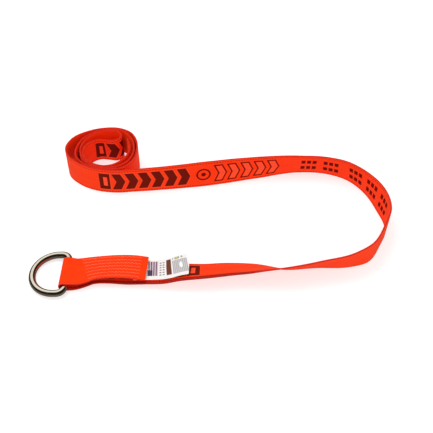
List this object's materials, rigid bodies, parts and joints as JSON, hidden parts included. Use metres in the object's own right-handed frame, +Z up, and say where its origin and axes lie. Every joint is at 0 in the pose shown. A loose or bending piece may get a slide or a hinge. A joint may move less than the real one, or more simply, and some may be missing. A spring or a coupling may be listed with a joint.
{
  "type": "flat web sling",
  "caption": "Flat woven lifting sling with a steel D-ring in a stitched eye, a sewn-in label, and its far end rolled up on edge.",
  "frame": {"origin": "ground point under the middle of the D-ring's bar, on the splice's underside", "axes": "+X from the ring's bar along the splice, +Z up from the ground the sling lies on"},
  "size_m": [0.534, 0.3082, 0.0505],
  "materials": {
    "ring_steel": "polished nickel-plated steel",
    "web": "plain woven polyester with a slight sheen",
    "thread": "matt sewing thread",
    "label": "smooth coated fabric"
  },
  "bodies": {
    "eye": {"eye_web": "web", "splice_stitching": "thread", "label_tab": "label"},
    "ring": {"d_ring": "ring_steel"},
    "label": {"label_flap": "label"},
    "lower": {"lower_web": "web"},
    "turn_in": {"turn_in_web": "web"},
    "turn_out": {"turn_out_web": "web"},
    "upper": {"upper_web": "web"},
    "roll": {"roll_web": "web"}
  },
  "joints": [
    {"name": "ring_swing", "type": "hinge", "parent": "eye", "child": "ring", "pos_m": [0, 0, 0.008], "axis": [0.0262, 0.9997, 0], "range_deg": [-120, 130]},
    {"name": "label_lift", "type": "hinge", "parent": "eye", "child": "label", "pos_m": [0.11615, 0.00731, 0.00729], "axis": [-0.0619, -0.9813, 0.1822], "range_deg": [0, 65], "stiffness_Nm_per_rad": 0.002},
    {"name": "upper_flex", "type": "hinge", "parent": "roll", "child": "upper", "pos_m": [0.14, 0.177, 0.02503], "axis": [-0.0044, 0.0346, 0.9994], "range_deg": [-8, 25], "stiffness_Nm_per_rad": 0.3},
    {"name": "turn_out_flex", "type": "hinge", "parent": "upper", "child": "turn_out", "pos_m": [0.285, 0.2, 0.02503], "axis": [0.0074, -0.0518, 0.9986], "range_deg": [-5, 15], "stiffness_Nm_per_rad": 0.3},
    {"name": "bend_flex", "type": "hinge", "parent": "turn_out", "child": "turn_in", "pos_m": [0.476, 0.093, 0.02503], "axis": [0.0347, -0.0037, 0.9994], "range_deg": [-5, 30], "stiffness_Nm_per_rad": 0.3},
    {"name": "turn_in_flex", "type": "hinge", "parent": "turn_in", "child": "lower", "pos_m": [0.313, -0.001, 0.02084], "axis": [0.0043, -0.5948, 0.8039], "range_deg": [-25, 0], "stiffness_Nm_per_rad": 0.3},
    {"name": "lower_flex", "type": "hinge", "parent": "lower", "child": "eye", "pos_m": [0.197, 0.0008, 0.01358], "axis": [0.0287, -0.8656, 0.5], "range_deg": [-35, 0], "stiffness_Nm_per_rad": 0.3}
  ]
}
